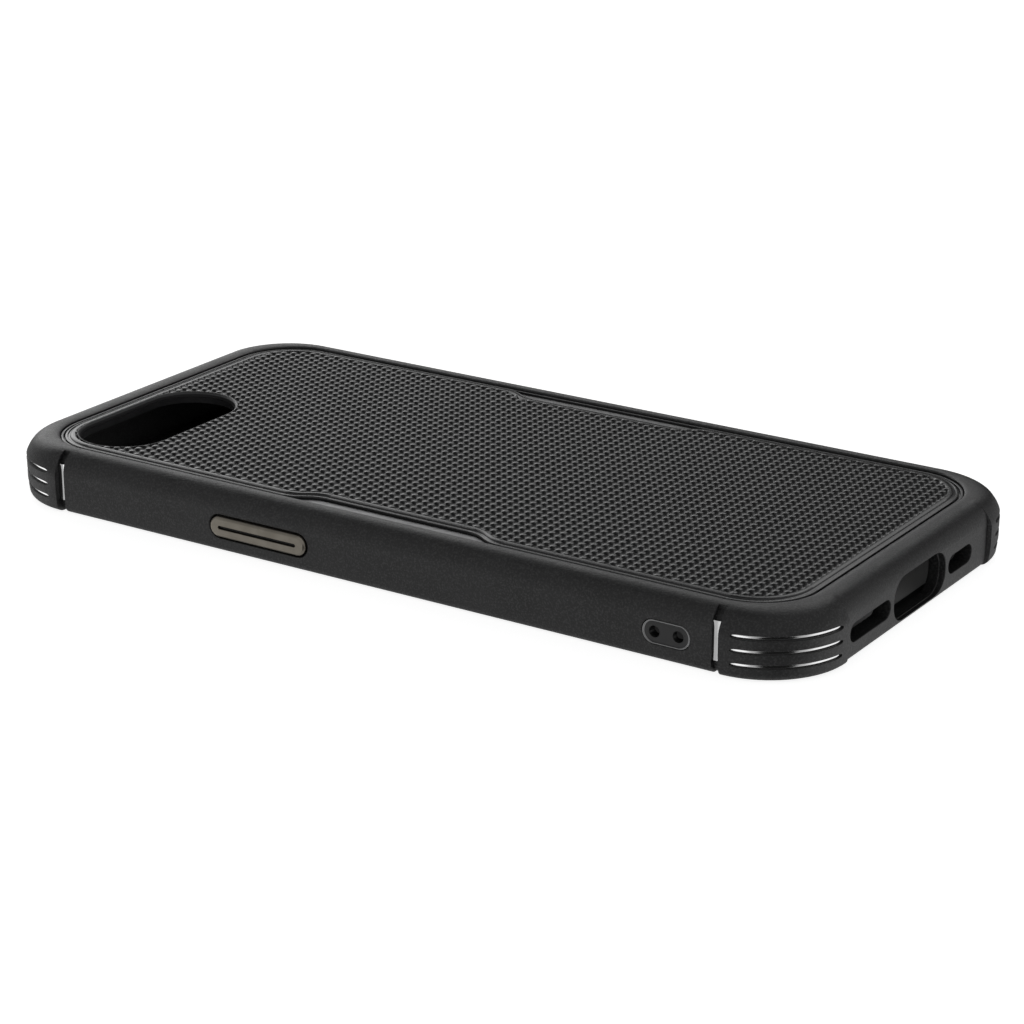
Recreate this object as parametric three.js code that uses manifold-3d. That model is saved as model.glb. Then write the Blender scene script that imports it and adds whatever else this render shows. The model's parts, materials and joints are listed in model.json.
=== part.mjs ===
// Protective case for a 146.7 x 71.5 x 7.8 mm phone, lying on its front lip.
// Millimetres. +Z is out of the back, +Y towards the camera end, +X to the right seen from the back.
// The origin is on the resting plane, under the middle of the case.
import * as THREE from "three";
import { mergeVertices } from "three/addons/utils/BufferGeometryUtils.js";
import Module from "manifold-3d";

const wasm = await Module();
wasm.setup();

// ---------------------------------------------------------------- driving dimensions

// The phone, and the room left round it.
const PHONE_LENGTH = 146.7;
const PHONE_WIDTH = 71.5;
const PHONE_THICKNESS = 7.8;
const PHONE_CORNER = 11.5;
const PHONE_FIT = 0.1;

// The bumper. Its outer outlines are offsets of the crest, the highest line of its back edge.
const CREST_HALF_X = 34.2;
const CREST_HALF_Y = 72.74;
const CREST_CORNER = 12;
const CASE_HEIGHT = 10.5;
const PANEL_OFFSET = 3.4;
const BLOCK_OFFSET = 3.95;
const BLOCK_TIGHTER = 1.9;
const LIP_HEIGHT = 0.6;
const LIP_OVERLAP = 1.7;
const LEDGE_TOP = 9;
const LEDGE_OVERLAP = 1.85;
const RIM_HALF_X = 33.45;
const RIM_HALF_Y = 71.3;
const RIM_CORNER = 10.7;
const RIM_HEIGHT = 10.2;

// Corner blocks, with their grooves and slots.
const BLOCK_START_X = 24.15;
const GROOVE_LOW_Y = 61.3;
const GROOVE_HIGH_Y = 62.7;
const GROOVE_DEPTH = 0.5;
const GROOVE_END_X = 35.4;
const SLOT_HEIGHTS = [2.6, 4.8, 7];
const SLOT_WIDTH = 0.6;
const SLOT_DEPTH = 0.4;
const SLOT_START_X = 26;
const SLOT_START_Y = 64.4;
const INSERT_LOW_Z = 1.5;
const INSERT_HIGH_Z = 8.8;
const INSERT_THICKNESS = 0.7;
const INSERT_START_X = 25.2;

// The layers of the back, and the gap that every seam keeps.
const SEAM = 0.05;
const SHELL_HEIGHT = 9.45;
const SHELL_LIP_HEIGHT = 10.05;
const SHELL_LIP_WIDTH = 0.4;
const RIM_GAP = 0.15;
const PLATE_HALF_X = 32.75;
const PLATE_HALF_Y = 70.4;
const PLATE_CORNER = 9.9;
const PLATE_EDGE_HEIGHT = 10.08;
const PLATE_HEIGHT = 10.4;
const PLATE_BEVEL = 1.35;
const NOTCH_DEPTH = 2.35;
const NOTCH_CENTRE_Y = -0.9;
const NOTCH_HALF_OUTER = 21;
const NOTCH_HALF_INNER = 13.3;
const STRIP_HEIGHT = 9.7;
const STRIP_GAP = 0.15;

// The camera window and its chamfered ring.
const WINDOW_X = -14.3;
const WINDOW_Y = 60.2;
const WINDOW_LENGTH = 31;
const WINDOW_WIDTH = 14.85;
const BEZEL_WIDTH = 1.2;
const BEZEL_DEPTH = 0.5;

// Openings in the port end.
const SOUND_Z = 4.45;
const PORT_WIDTH = 16.6;
const PORT_HEIGHT = 6.9;
const PORT_CORNER = 3;
const PORT_STEP_DEPTH = 0.9;
const PORT_STEP_WIDTH = 0.45;
const SLOT_OPENING_HEIGHT = 3;
const SPEAKER_X = -16.4;
const SPEAKER_WIDTH = 13;
const MICROPHONE_X = 14;
const MICROPHONE_WIDTH = 8.3;

// Buttons: a metal cap in a recess, with a rubber plunger behind it. side is -1 for the left.
const BUTTON_Z = 4.4;
const BUTTON_TRAVEL = 0.35;
const CAP_HEIGHT = 3.4;
const CAP_PROUD = 0.45;
const CAP_THICKNESS = 1.25;
const CAP_CHAMFER = 0.35;
const CAP_SLOT_HEIGHT = 0.55;
const CAP_SLOT_MARGIN = 1.75;
const RECESS_GAP = 0.3;
const STEM_MARGIN = 3.3;
const STEM_HEIGHT = 1.4;
const RIDGE_RECESS = 0.45;
const RIDGE_ROOT = 0.1;
const BUTTONS = [
  { name: "power_button", side: -1, y: 20.9, length: 18.9 },
  { name: "action_button", side: 1, y: 42, length: 9.2 },
  { name: "volume_up", side: 1, y: 28.2, length: 11.8 },
  { name: "volume_down", side: 1, y: 14.6, length: 11.8 },
];

// Strap anchor, on the left side.
const STRAP_Y = -53.8;
const STRAP_Z = 4.55;
const STRAP_LENGTH = 8;
const STRAP_HEIGHT = 3.7;
const STRAP_THICKNESS = 1.3;
const STRAP_HOLE_RADIUS = 0.9;
const STRAP_HOLE_SPACING = 4;
const STRAP_SEAM = 0.12;

// Segments in a quarter circle, and how far a cut runs past the surface it opens.
const ARC_STEPS = 4;
const CUT = 3;
// A round end's radius as a share of half its height: a hair of flat keeps neighbouring corners apart.
const ROUND_END = 0.999;

// ---------------------------------------------------------------- derived dimensions

const PANEL_X = CREST_HALF_X + PANEL_OFFSET;
const PANEL_Y = CREST_HALF_Y + PANEL_OFFSET;
const CAVITY_X = PHONE_WIDTH / 2 + PHONE_FIT;
const CAVITY_Y = PHONE_LENGTH / 2 + PHONE_FIT;
const CAVITY_CORNER = PHONE_CORNER + PHONE_FIT;
const CAVITY_TOP = LIP_HEIGHT + PHONE_THICKNESS + SEAM;
const INSERT_OFFSET = PANEL_OFFSET - GROOVE_DEPTH;
const CAP_BACK_X = PANEL_X + CAP_PROUD - CAP_THICKNESS;

// ---------------------------------------------------------------- materials

const finish = (color, roughness, metalness = 0) =>
  new THREE.MeshStandardMaterial({ color, roughness, metalness });
const FINISH = {
  bumper: () => finish(0x2b2b2c, 0.62),
  shell: () => finish(0x1c1c1d, 0.35),
  plate: () => finish(0x2f2f30, 0.5),
  bezel: () => finish(0x353536, 0.45),
  strip: () => finish(0x58585a, 0.4),
  insert: () => finish(0x0b0b0c, 0.12),
  cap: () => finish(0x6a665f, 0.38, 0.85),
  plunger: () => finish(0x0d0d0d, 0.7),
  anchor: () => finish(0x2a2a2b, 0.4),
};

// ---------------------------------------------------------------- solids

function solid(geometry) {
  const bare = geometry.index ? geometry.toNonIndexed() : geometry.clone();
  bare.deleteAttribute("normal");
  bare.deleteAttribute("uv");
  const merged = mergeVertices(bare, 1e-4);
  return new wasm.Manifold(
    new wasm.Mesh({
      numProp: 3,
      vertProperties: merged.attributes.position.array,
      triVerts: new Uint32Array(merged.index.array),
    }),
  );
}

function cut(body, ...tools) {
  return tools.reduce((rest, tool) => rest.subtract(tool), body);
}

function join(body, ...others) {
  return others.reduce((sum, other) => sum.add(other), body);
}

function piece(name, body, material) {
  const made = body.getMesh();
  const geometry = new THREE.BufferGeometry();
  geometry.setAttribute("position", new THREE.BufferAttribute(made.vertProperties, 3));
  geometry.setIndex(new THREE.BufferAttribute(made.triVerts, 1));
  geometry.computeVertexNormals();
  const mesh = new THREE.Mesh(geometry, material);
  mesh.name = name;
  return mesh;
}

// A rounded rectangle about the origin. A notch draws both long sides in at mid-length.
function outline(halfX, halfY, radius, notch = 0) {
  const inX = halfX - radius;
  const inY = halfY - radius;
  const quarter = Math.PI / 2;
  const shape = new THREE.Shape();
  shape.moveTo(halfX, -inY);
  notchedSide(shape, halfX, notch, 1);
  shape.absarc(inX, inY, radius, 0, quarter);
  shape.absarc(-inX, inY, radius, quarter, 2 * quarter);
  notchedSide(shape, halfX, notch, -1);
  shape.absarc(-inX, -inY, radius, 2 * quarter, 3 * quarter);
  shape.absarc(inX, -inY, radius, 3 * quarter, 4 * quarter);
  return shape;
}

// One long side's notch, drawn towards +Y on the right (side 1) and towards -Y on the left (side -1).
function notchedSide(shape, halfX, notch, side) {
  if (!notch) return;
  const at = (along) => NOTCH_CENTRE_Y + side * along;
  const middle = (NOTCH_HALF_OUTER + NOTCH_HALF_INNER) / 2;
  const outer = side * halfX;
  const inner = side * (halfX - notch);
  shape.lineTo(outer, at(-NOTCH_HALF_OUTER));
  shape.bezierCurveTo(outer, at(-middle), inner, at(-middle), inner, at(-NOTCH_HALF_INNER));
  shape.lineTo(inner, at(NOTCH_HALF_INNER));
  shape.bezierCurveTo(inner, at(middle), outer, at(middle), outer, at(NOTCH_HALF_OUTER));
}

// A closed solid through outlines with equal numbers of points, given from the lowest up as [shape, z].
function loft(levels) {
  const rings = levels.map(([shape]) => {
    const points = shape.getPoints(ARC_STEPS);
    return points.filter((p, i) => i === 0 || p.distanceTo(points[i - 1]) > 1e-6);
  });
  rings.forEach((ring) => {
    if (ring[0].distanceTo(ring.at(-1)) < 1e-6) ring.pop();
  });
  const count = rings[0].length;
  const vertices = rings.flatMap((ring, level) => ring.flatMap((p) => [p.x, p.y, levels[level][1]]));
  const faces = [];
  for (let level = 0; level + 1 < rings.length; level++) {
    for (let i = 0; i < count; i++) {
      const a = level * count + i;
      const b = level * count + ((i + 1) % count);
      faces.push(a, b, b + count, a, b + count, a + count);
    }
  }
  const top = (rings.length - 1) * count;
  THREE.ShapeUtils.triangulateShape(rings[0], []).forEach(([a, b, c]) => faces.push(c, b, a));
  THREE.ShapeUtils.triangulateShape(rings.at(-1), []).forEach(([a, b, c]) =>
    faces.push(top + a, top + b, top + c),
  );
  const geometry = new THREE.BufferGeometry();
  geometry.setAttribute("position", new THREE.Float32BufferAttribute(vertices, 3));
  geometry.setIndex(faces);
  return solid(geometry);
}

function prism(shape, low, high) {
  return loft([[shape, low], [shape, high]]);
}

// A box between two corners.
function block(lowX, lowY, lowZ, highX, highY, highZ) {
  const box = new THREE.BoxGeometry(highX - lowX, highY - lowY, highZ - lowZ);
  box.translate((lowX + highX) / 2, (lowY + highY) / 2, (lowZ + highZ) / 2);
  return solid(box);
}

// The outline at an offset outside the crest.
function offsetOutline(offset) {
  return outline(CREST_HALF_X + offset, CREST_HALF_Y + offset, CREST_CORNER + offset);
}

// The same for the corner blocks, whose corners turn tighter by share times BLOCK_TIGHTER.
function blockOutline(offset, share = 1) {
  const radius = CREST_CORNER + offset - share * BLOCK_TIGHTER;
  return outline(CREST_HALF_X + offset, CREST_HALF_Y + offset, radius);
}

// A slug with round ends that stands out sideways: its outline lies in the plane of the wall.
// On the left and right sides (side -1 or 1) it runs along Y, and depth is measured along X.
function sideSlug(side, y, z, length, height, lowX, highX) {
  const made = prism(outline(length / 2, height / 2, (ROUND_END * height) / 2), lowX, highX);
  return side > 0
    ? made.rotate([90, 0, 0]).rotate([0, 0, 90]).translate([0, y, z])
    : made.rotate([90, 0, 0]).rotate([0, 0, -90]).translate([0, y, z]);
}

// The same through the port end, along X, with depth measured from the middle of the case towards -Y.
// Its corners may be tighter than round ends.
function endSlug(x, z, length, height, near, far, radius = (ROUND_END * height) / 2) {
  return prism(outline(length / 2, height / 2, radius), near, far)
    .rotate([90, 0, 0])
    .translate([x, 0, z]);
}

// ---------------------------------------------------------------- bumper

// Outer section of the side walls as [offset, z], from the resting face up to the crest.
// inset draws the section in all round, for the floor of the grooves.
function panelSection(inset = 0) {
  const low = [[1.9, 0], [2.75, 0.2], [3.2, 0.6], [3.3, 1.3], [PANEL_OFFSET, 3]];
  const shoulder = 6.9;
  const arc = [0, 1, 2, 3, 4, 5, 6].map((step) => {
    const angle = (step / 6) * (Math.PI / 2);
    return [PANEL_OFFSET * Math.cos(angle), shoulder + (CASE_HEIGHT - shoulder) * Math.sin(angle)];
  });
  return [...low, ...arc].map(([offset, z]) => [
    offset - inset,
    z > shoulder ? shoulder + (z - shoulder) * (1 - inset / (CASE_HEIGHT - shoulder)) : z,
  ]);
}

// The corner blocks stand proud of the panels at mid-height and run into them at the crest.
function blockLevels() {
  const low = [[1.95, 0], [2.75, 0.2], [3.55, 0.6], [3.72, 1.3], [3.84, 2.4], [BLOCK_OFFSET, 3.6]];
  const high = [[BLOCK_OFFSET, 6.2, 1], [3.55, 7.9, 1.3], [2.95, 8.75, 1.4]];
  const crown = [[2.35, 9.5, 1.2], [1.35, 10.15, 0.8], [0, CASE_HEIGHT - SEAM, 0]];
  return [...low, ...high, ...crown].map(([offset, z, share]) => [blockOutline(offset, share), z]);
}

function sectionLoft(section) {
  return section.map(([offset, z]) => [offsetOutline(offset), z]);
}

const rimOutline = outline(RIM_HALF_X, RIM_HALF_Y, RIM_CORNER);
const panels = loft([...sectionLoft(panelSection()), [rimOutline, RIM_HEIGHT]]);
const grooveFloor = loft(sectionLoft(panelSection(GROOVE_DEPTH)));
const blockRing = loft(blockLevels());

const REACH = 100;
const QUADRANTS = [-1, 1].flatMap((x) => [-1, 1].map((y) => [x, y]));

// The region outside startX and startY in one quadrant.
function cornerRegion(x, y, startX, startY, lowZ, highZ) {
  const [x0, x1] = x > 0 ? [startX, REACH] : [-REACH, -startX];
  const [y0, y1] = y > 0 ? [startY, REACH] : [-REACH, -startY];
  return block(x0, y0, lowZ, x1, y1, highZ);
}

// A band that follows the corner between two outlines.
function cornerBand(x, y, startX, startY, inner, outer, lowZ, highZ) {
  const wide = prism(outer, lowZ, highZ);
  const core = prism(inner, lowZ - 1, highZ + 1);
  return wide.subtract(core).intersect(cornerRegion(x, y, startX, startY, lowZ, highZ));
}

function cornerBlock(x, y) {
  return blockRing.intersect(cornerRegion(x, y, BLOCK_START_X, GROOVE_HIGH_Y, -1, CASE_HEIGHT));
}

function grooveCut(x, y) {
  const [x0, x1] = x > 0 ? [GROOVE_END_X, REACH] : [-REACH, -GROOVE_END_X];
  const [y0, y1] = y > 0 ? [GROOVE_LOW_Y, GROOVE_HIGH_Y] : [-GROOVE_HIGH_Y, -GROOVE_LOW_Y];
  return block(x0, y0, -1, x1, y1, CASE_HEIGHT + 1).subtract(grooveFloor);
}

function insertPocket(x, y) {
  return cornerBand(
    x,
    y,
    INSERT_START_X - SEAM,
    GROOVE_LOW_Y - SEAM,
    offsetOutline(INSERT_OFFSET - INSERT_THICKNESS - SEAM),
    offsetOutline(INSERT_OFFSET + SEAM),
    INSERT_LOW_Z - SEAM,
    INSERT_HIGH_Z + SEAM,
  );
}

// A band along a slot from the insert outwards, smaller by gap at its ends and its edges.
function slotBand(x, y, z, outer, gap) {
  const half = SLOT_WIDTH / 2 - gap;
  const inner = offsetOutline(INSERT_OFFSET - SEAM);
  return cornerBand(x, y, SLOT_START_X + gap, SLOT_START_Y + gap, inner, outer, z - half, z + half);
}

function buttonCuts({ side, y, length }) {
  const recess = sideSlug(
    side,
    y,
    BUTTON_Z,
    length + 2 * RECESS_GAP,
    CAP_HEIGHT + 2 * RECESS_GAP,
    CAP_BACK_X - RIDGE_ROOT - BUTTON_TRAVEL - SEAM,
    PANEL_X + CUT,
  );
  const stemHole = sideSlug(
    side,
    y,
    BUTTON_Z,
    length - 2 * STEM_MARGIN + 2 * RECESS_GAP,
    STEM_HEIGHT + 2 * RECESS_GAP,
    CAVITY_X - CUT,
    PANEL_X,
  );
  return [recess, stemHole];
}

function strapCuts() {
  const wide = STRAP_LENGTH + 2 * STRAP_SEAM;
  const high = STRAP_HEIGHT + 2 * STRAP_SEAM;
  const floor = PANEL_X - STRAP_THICKNESS;
  const pocket = sideSlug(-1, STRAP_Y, STRAP_Z, wide, high, floor - SEAM, PANEL_X + CUT);
  const span = STRAP_HOLE_SPACING + 2 * STRAP_HOLE_RADIUS;
  const passage = sideSlug(-1, STRAP_Y, STRAP_Z, span, 2 * STRAP_HOLE_RADIUS, CAVITY_X - CUT, PANEL_X);
  return [pocket, passage];
}

function portEndCuts() {
  const inside = CAVITY_Y - CUT;
  const outside = PANEL_Y + CUT;
  const stepStart = PANEL_Y - PORT_STEP_DEPTH;
  const stepWidth = PORT_WIDTH + 2 * PORT_STEP_WIDTH;
  return [
    endSlug(0, SOUND_Z, PORT_WIDTH, PORT_HEIGHT, inside, outside, PORT_CORNER),
    endSlug(0, SOUND_Z, stepWidth, PORT_HEIGHT, stepStart, outside, PORT_CORNER),
    endSlug(SPEAKER_X, SOUND_Z, SPEAKER_WIDTH, SLOT_OPENING_HEIGHT, inside, outside),
    endSlug(MICROPHONE_X, SOUND_Z, MICROPHONE_WIDTH, SLOT_OPENING_HEIGHT, inside, outside),
  ];
}

function bumperFrame() {
  const cavity = prism(outline(CAVITY_X, CAVITY_Y, CAVITY_CORNER), LIP_HEIGHT, CAVITY_TOP);
  const lipCorner = CAVITY_CORNER - LIP_OVERLAP;
  const screen = prism(
    outline(CAVITY_X - LIP_OVERLAP, CAVITY_Y - LIP_OVERLAP, lipCorner),
    -1,
    LIP_HEIGHT + SEAM,
  );
  const ledge = prism(
    outline(RIM_HALF_X - LEDGE_OVERLAP, RIM_HALF_Y - LEDGE_OVERLAP, RIM_CORNER - LEDGE_OVERLAP),
    CAVITY_TOP - SEAM,
    LEDGE_TOP + SEAM,
  );
  const backRecess = prism(rimOutline, LEDGE_TOP, CASE_HEIGHT + 1);
  const outer = join(panels, ...QUADRANTS.map(([x, y]) => cornerBlock(x, y)));
  return cut(
    outer,
    cavity,
    screen,
    ledge,
    backRecess,
    ...QUADRANTS.flatMap(([x, y]) => [
      grooveCut(x, y),
      insertPocket(x, y),
      ...SLOT_HEIGHTS.map((z) => slotBand(x, y, z, offsetOutline(REACH / 10), 0)),
    ]),
    ...BUTTONS.flatMap(buttonCuts),
    ...strapCuts(),
    ...portEndCuts(),
  );
}

// A curved strip behind the block, with a rib that nearly fills each slot.
function cornerInsert(x, y) {
  const strip = cornerBand(
    x,
    y,
    INSERT_START_X,
    GROOVE_LOW_Y,
    offsetOutline(INSERT_OFFSET - INSERT_THICKNESS),
    offsetOutline(INSERT_OFFSET),
    INSERT_LOW_Z,
    INSERT_HIGH_Z,
  );
  const ribFace = blockOutline(BLOCK_OFFSET - SLOT_DEPTH);
  return join(strip, ...SLOT_HEIGHTS.map((z) => slotBand(x, y, z, ribFace, SEAM)));
}

// ---------------------------------------------------------------- back

// The camera window's outline, grown by a margin all round.
function windowShape(margin) {
  const round = WINDOW_WIDTH / 2 + margin;
  const half = (WINDOW_LENGTH - WINDOW_WIDTH) / 2;
  const shape = new THREE.Shape();
  shape.absarc(WINDOW_X + half, WINDOW_Y, round, -Math.PI / 2, Math.PI / 2);
  shape.absarc(WINDOW_X - half, WINDOW_Y, round, Math.PI / 2, (3 * Math.PI) / 2);
  return shape;
}

function innerShell() {
  const grow = (margin) =>
    outline(RIM_HALF_X - margin, RIM_HALF_Y - margin, RIM_CORNER - margin);
  const seat = prism(grow(LEDGE_OVERLAP + RIM_GAP), CAVITY_TOP, LEDGE_TOP + 2 * SEAM);
  const sheet = prism(grow(RIM_GAP), LEDGE_TOP + SEAM, SHELL_LIP_HEIGHT);
  const hollow = prism(grow(RIM_GAP + SHELL_LIP_WIDTH), SHELL_HEIGHT, SHELL_LIP_HEIGHT + 1);
  const window = prism(windowShape(0), 0, CASE_HEIGHT);
  return cut(join(seat, sheet.subtract(hollow)), window);
}

function backPlate() {
  const low = outline(PLATE_HALF_X, PLATE_HALF_Y, PLATE_CORNER, NOTCH_DEPTH);
  const high = outline(
    PLATE_HALF_X - PLATE_BEVEL,
    PLATE_HALF_Y - PLATE_BEVEL,
    PLATE_CORNER - PLATE_BEVEL,
    NOTCH_DEPTH,
  );
  const plate = loft([
    [low, SHELL_HEIGHT + SEAM],
    [low, PLATE_EDGE_HEIGHT],
    [high, PLATE_HEIGHT],
  ]);
  return plate.subtract(prism(windowShape(BEZEL_WIDTH + SEAM), 0, CASE_HEIGHT));
}

function cameraBezel() {
  const ring = prism(windowShape(BEZEL_WIDTH), SHELL_HEIGHT + SEAM, PLATE_HEIGHT);
  const through = prism(windowShape(0), 0, CASE_HEIGHT);
  const chamfer = loft([
    [windowShape(0), PLATE_HEIGHT - BEZEL_DEPTH],
    [windowShape(BEZEL_WIDTH), PLATE_HEIGHT],
    [windowShape(BEZEL_WIDTH), PLATE_HEIGHT + 1],
  ]);
  return cut(ring, through, chamfer);
}

// The strip that lies in a notch, between the plate's edge and the shell's lip.
function gripStrip(side) {
  const half = NOTCH_HALF_OUTER - 2;
  const outer = PLATE_HALF_X;
  const low = SHELL_HEIGHT + SEAM;
  const [x0, x1] = side > 0 ? [outer - NOTCH_DEPTH - 1, outer] : [-outer, NOTCH_DEPTH + 1 - outer];
  const bar = block(x0, NOTCH_CENTRE_Y - half, low, x1, NOTCH_CENTRE_Y + half, STRIP_HEIGHT);
  const plate = outline(PLATE_HALF_X + STRIP_GAP, PLATE_HALF_Y, PLATE_CORNER, NOTCH_DEPTH);
  return bar.subtract(prism(plate, 0, CASE_HEIGHT));
}

// ---------------------------------------------------------------- buttons and strap anchor

function buttonCap({ side, y, length }) {
  const face = PANEL_X + CAP_PROUD;
  const shape = (inset) =>
    outline(length / 2 - inset, CAP_HEIGHT / 2 - inset, ROUND_END * (CAP_HEIGHT / 2 - inset));
  const turned = loft([
    [shape(0), CAP_BACK_X],
    [shape(0), face - CAP_CHAMFER],
    [shape(CAP_CHAMFER), face],
  ])
    .rotate([90, 0, 0])
    .rotate([0, 0, side * 90])
    .translate([0, y, BUTTON_Z]);
  const slotLength = length - 2 * CAP_SLOT_MARGIN;
  const slot = sideSlug(side, y, BUTTON_Z, slotLength, CAP_SLOT_HEIGHT, CAP_BACK_X - 1, face + 1);
  return turned.subtract(slot);
}

function buttonPlunger({ side, y, length }) {
  const stemEnd = CAVITY_X + SEAM;
  const stemLength = length - 2 * STEM_MARGIN;
  const stem = sideSlug(side, y, BUTTON_Z, stemLength, STEM_HEIGHT, stemEnd, CAP_BACK_X - SEAM);
  const ridgeLength = length - 2 * CAP_SLOT_MARGIN - 2 * SEAM;
  const ridgeHeight = CAP_SLOT_HEIGHT - 2 * SEAM;
  const ridgeFace = PANEL_X + CAP_PROUD - RIDGE_RECESS;
  const ridge = sideSlug(side, y, BUTTON_Z, ridgeLength, ridgeHeight, CAP_BACK_X - RIDGE_ROOT, ridgeFace);
  return stem.add(ridge);
}

function strapAnchor() {
  const face = PANEL_X + SEAM;
  const floor = PANEL_X - STRAP_THICKNESS;
  const slug = sideSlug(-1, STRAP_Y, STRAP_Z, STRAP_LENGTH, STRAP_HEIGHT, floor, face);
  const holes = [-1, 1].map((end) => {
    const y = STRAP_Y + (end * STRAP_HOLE_SPACING) / 2;
    const across = 2 * STRAP_HOLE_RADIUS;
    return sideSlug(-1, y, STRAP_Z, across, across, floor - 1, face + 1);
  });
  return cut(slug, ...holes);
}

// ---------------------------------------------------------------- assembly

const group = new THREE.Group();
group.add(
  piece("bumper_frame", bumperFrame(), FINISH.bumper()),
  piece("inner_shell", innerShell(), FINISH.shell()),
  piece("back_plate", backPlate(), FINISH.plate()),
  piece("camera_bezel", cameraBezel(), FINISH.bezel()),
  piece("grip_strip_left", gripStrip(-1), FINISH.strip()),
  piece("grip_strip_right", gripStrip(1), FINISH.strip()),
  piece("strap_anchor", strapAnchor(), FINISH.anchor()),
);

for (const [x, y] of QUADRANTS) {
  const end = y > 0 ? "camera" : "port";
  const side = x > 0 ? "right" : "left";
  group.add(piece(`corner_insert_${end}_${side}`, cornerInsert(x, y), FINISH.insert()));
}

for (const button of BUTTONS) {
  group.add(
    piece(`${button.name}_cap`, buttonCap(button), FINISH.cap()),
    piece(`${button.name}_plunger`, buttonPlunger(button), FINISH.plunger()),
  );
}

export default group;
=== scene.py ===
# Looks for the protective phone case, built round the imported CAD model.
# Lengths in this script are millimetres until a mesh is made, which is in metres.
# The case lies on its front lip: +Z is out of the back, +Y towards the camera end.
import json
import math

import bmesh
import bpy
import numpy as np
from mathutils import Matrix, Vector

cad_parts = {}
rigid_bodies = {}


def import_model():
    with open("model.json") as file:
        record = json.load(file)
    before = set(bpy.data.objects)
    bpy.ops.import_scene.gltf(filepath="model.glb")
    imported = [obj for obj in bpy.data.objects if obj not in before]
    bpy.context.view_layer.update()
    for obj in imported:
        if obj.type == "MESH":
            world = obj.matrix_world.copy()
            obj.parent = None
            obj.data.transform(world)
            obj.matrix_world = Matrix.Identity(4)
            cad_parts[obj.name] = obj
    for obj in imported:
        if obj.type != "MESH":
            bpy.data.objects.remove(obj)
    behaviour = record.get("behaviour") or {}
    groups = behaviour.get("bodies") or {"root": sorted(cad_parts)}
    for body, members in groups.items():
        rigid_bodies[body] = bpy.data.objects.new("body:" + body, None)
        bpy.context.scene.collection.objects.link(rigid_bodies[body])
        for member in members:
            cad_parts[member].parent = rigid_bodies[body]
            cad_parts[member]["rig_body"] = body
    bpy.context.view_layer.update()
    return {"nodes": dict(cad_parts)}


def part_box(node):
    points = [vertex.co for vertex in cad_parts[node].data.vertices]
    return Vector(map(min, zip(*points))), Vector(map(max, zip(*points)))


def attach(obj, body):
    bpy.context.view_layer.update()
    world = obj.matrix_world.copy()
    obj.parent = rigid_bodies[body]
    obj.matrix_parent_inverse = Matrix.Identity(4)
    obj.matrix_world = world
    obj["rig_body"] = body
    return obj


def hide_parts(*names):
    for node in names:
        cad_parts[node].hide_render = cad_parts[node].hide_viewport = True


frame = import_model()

MM = 0.001


def node_box(node):
    """The lowest and highest corners of a CAD node, in millimetres."""
    low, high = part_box(node)
    return np.array(low) / MM, np.array(high) / MM


# ------------------------------------------------------------------ sizes

frame_high = node_box("bumper_frame")[1]
plate_low, plate_high = node_box("back_plate")
shell_low, shell_high = node_box("inner_shell")
bezel_low, bezel_high = node_box("camera_bezel")
strip_low, strip_high = node_box("grip_strip_right")
insert_low, insert_high = node_box("corner_insert_camera_right")
strap_low, strap_high = node_box("strap_anchor")

# How far a cutter or an unseen end reaches past what it cuts.
PAST = 3.0
SEAM = 0.05

# The bumper's outer outlines are offsets of its crest, the highest line of the back edge.
BLOCK_OFFSET = 3.95
BLOCK_TIGHTER = 1.9
PANEL_OFFSET = 3.4
CREST_X = frame_high[0] - BLOCK_OFFSET
CREST_Y = frame_high[1] - BLOCK_OFFSET
CREST_CORNER = 12.0
CASE_HEIGHT = frame_high[2]
PANEL_X = CREST_X + PANEL_OFFSET
PANEL_Y = CREST_Y + PANEL_OFFSET
CENTRE = np.array([CREST_X - CREST_CORNER, CREST_Y - CREST_CORNER])

# Section of the walls. The lower round starts and ends at these offsets outside the crest, and the
# rise above it goes through [offset, z].
LOW_ROUND = 1.3
PANEL_LOW = (1.9, 3.3)
PANEL_RISE = ((3.37, 2.4), (PANEL_OFFSET, 3.3), (PANEL_OFFSET, 5.0))
SHOULDER = 6.9
BLOCK_LOW = (1.95, 3.72)
BLOCK_LOW_FALL = 0.9
BLOCK_RISE = ((3.86, 2.4), (3.94, 3.5), (BLOCK_OFFSET, 5.0))
BLOCK_SHOULDER = 6.2
BLOCK_CROWN = ((BLOCK_OFFSET, BLOCK_SHOULDER), (3.87, 7.0), (3.66, 7.9))
BLOCK_FACE = ((BLOCK_LOW[1], LOW_ROUND), *BLOCK_RISE[:2], *BLOCK_CROWN)
BLOCK_MERGE = (math.radians(10), math.radians(38))
BLOCK_CORNER_FALL = 0.6
CROWN_TIGHTER = 0.5
RIM_GAP = 0.15
RIM_X = shell_high[0] + RIM_GAP
RIM_Y = shell_high[1] + RIM_GAP
RIM_CORNER = 10.7
RIM_HEIGHT = 10.2
LEDGE_HEIGHT = 9.0
LEDGE_OVERLAP = 1.85
CAVITY_X = 35.85
CAVITY_Y = 73.45
CAVITY_CORNER = 11.6
CAVITY_TOP = shell_low[2]
LIP_HEIGHT = 0.6
LIP_OVERLAP = 1.7
CAVITY_SOFT = 0.25
LIP_SOFT = 0.2
FOOT_SOFT = 0.15
LEDGE_SOFT = 0.1

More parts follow.
